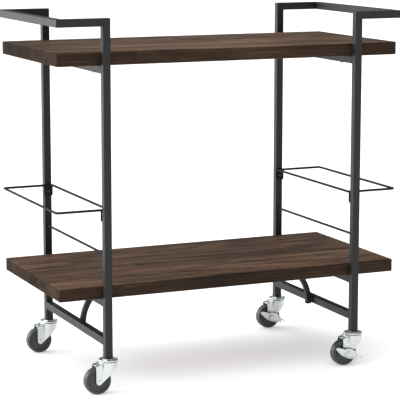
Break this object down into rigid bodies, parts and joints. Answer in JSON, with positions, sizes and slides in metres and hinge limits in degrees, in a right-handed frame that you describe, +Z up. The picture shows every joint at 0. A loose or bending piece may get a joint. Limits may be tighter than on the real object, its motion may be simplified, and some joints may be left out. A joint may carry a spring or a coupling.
{
  "type": "bar cart",
  "caption": "Rolling bar cart: thick wooden shelves on a black square-tube frame with raised end handles, wire bottle loops and swivel casters, those at one end braked.",
  "frame": {"origin": "on the floor under the middle of the cart", "axes": "+X along the shelves towards the braked casters, +Y from the front edge to the back edge, +Z up"},
  "size_m": [0.914, 0.483, 0.8945],
  "materials": {
    "black_frame": "fine textured charcoal powder coat, low sheen",
    "walnut": "dark walnut-stained staves glued side by side, satin lacquer",
    "zinc": "bright bluish zinc plating on pressed steel",
    "ball_steel": "polished bearing steel",
    "wheel_centre": "moulded dark grey plastic",
    "wheel_tread": "dark grey non-marking rubber",
    "black_screws": "black oxide pan-head screws",
    "black_plastic": "black moulded plastic"
  },
  "bodies": {
    "frame": {"left_front_post": "black_frame", "left_rear_post": "black_frame", "left_handle": "black_frame", "left_upper_rail": "black_frame", "left_lower_rail": "black_frame", "left_stretcher": "black_frame", "left_bottle_rail": "black_frame", "left_guard_rod": "black_frame", "left_brace": "black_frame", "right_front_post": "black_frame", "right_rear_post": "black_frame", "right_handle": "black_frame", "right_upper_rail": "black_frame", "right_lower_rail": "black_frame", "right_stretcher": "black_frame", "right_bottle_rail": "black_frame", "right_guard_rod": "black_frame", "right_brace": "black_frame", "top_shelf": "walnut", "bottom_shelf": "walnut", "top_shelf_screws": "black_screws", "bottom_shelf_screws": "black_screws", "bottle_rail_screws": "black_screws", "brace_caps": "black_plastic", "brace_screws": "black_screws", "tube_inserts": "black_plastic", "left_front_stem": "zinc", "left_front_race": "zinc", "left_front_balls": "ball_steel", "left_rear_stem": "zinc", "left_rear_race": "zinc", "left_rear_balls": "ball_steel", "right_front_stem": "zinc", "right_front_race": "zinc", "right_front_balls": "ball_steel", "right_rear_stem": "zinc", "right_rear_race": "zinc", "right_rear_balls": "ball_steel"},
    "left_front_swivel": {"left_front_fork": "zinc", "left_front_axle": "zinc"},
    "left_front_wheel": {"left_front_hub": "wheel_centre", "left_front_tyre": "wheel_tread"},
    "left_rear_swivel": {"left_rear_fork": "zinc", "left_rear_axle": "zinc"},
    "left_rear_wheel": {"left_rear_hub": "wheel_centre", "left_rear_tyre": "wheel_tread"},
    "right_front_swivel": {"right_front_fork": "zinc", "right_front_axle": "zinc"},
    "right_front_wheel": {"right_front_hub": "wheel_centre", "right_front_tyre": "wheel_tread"},
    "right_front_brake": {"right_front_brake_lever": "zinc"},
    "right_rear_swivel": {"right_rear_fork": "zinc", "right_rear_axle": "zinc"},
    "right_rear_wheel": {"right_rear_hub": "wheel_centre", "right_rear_tyre": "wheel_tread"},
    "right_rear_brake": {"right_rear_brake_lever": "zinc"}
  },
  "joints": [
    {"name": "left_front_swivel_turn", "type": "hinge", "parent": "frame", "child": "left_front_swivel", "pos_m": [-0.333, -0.216, 0.084], "axis": [0, 0, 1], "continuous": true},
    {"name": "left_front_wheel_roll", "type": "hinge", "parent": "left_front_swivel", "child": "left_front_wheel", "pos_m": [-0.361, -0.216, 0.0325], "axis": [0, 1, 0], "continuous": true},
    {"name": "left_rear_swivel_turn", "type": "hinge", "parent": "frame", "child": "left_rear_swivel", "pos_m": [-0.333, 0.216, 0.084], "axis": [0, 0, 1], "continuous": true},
    {"name": "left_rear_wheel_roll", "type": "hinge", "parent": "left_rear_swivel", "child": "left_rear_wheel", "pos_m": [-0.361, 0.216, 0.0325], "axis": [0, 1, 0], "continuous": true},
    {"name": "right_front_swivel_turn", "type": "hinge", "parent": "frame", "child": "right_front_swivel", "pos_m": [0.333, -0.216, 0.084], "axis": [0, 0, 1], "continuous": true},
    {"name": "right_front_wheel_roll", "type": "hinge", "parent": "right_front_swivel", "child": "right_front_wheel", "pos_m": [0.305, -0.216, 0.0325], "axis": [0, 1, 0], "continuous": true},
    {"name": "right_front_brake_press", "type": "hinge", "parent": "right_front_swivel", "child": "right_front_brake", "pos_m": [0.305, -0.216, 0.0325], "axis": [0, 1, 0], "range_deg": [-25, 0]},
    {"name": "right_rear_swivel_turn", "type": "hinge", "parent": "frame", "child": "right_rear_swivel", "pos_m": [0.333, 0.216, 0.084], "axis": [0, 0, 1], "continuous": true},
    {"name": "right_rear_wheel_roll", "type": "hinge", "parent": "right_rear_swivel", "child": "right_rear_wheel", "pos_m": [0.305, 0.216, 0.0325], "axis": [0, 1, 0], "continuous": true},
    {"name": "right_rear_brake_press", "type": "hinge", "parent": "right_rear_swivel", "child": "right_rear_brake", "pos_m": [0.305, 0.216, 0.0325], "axis": [0, 1, 0], "range_deg": [-25, 0]}
  ]
}
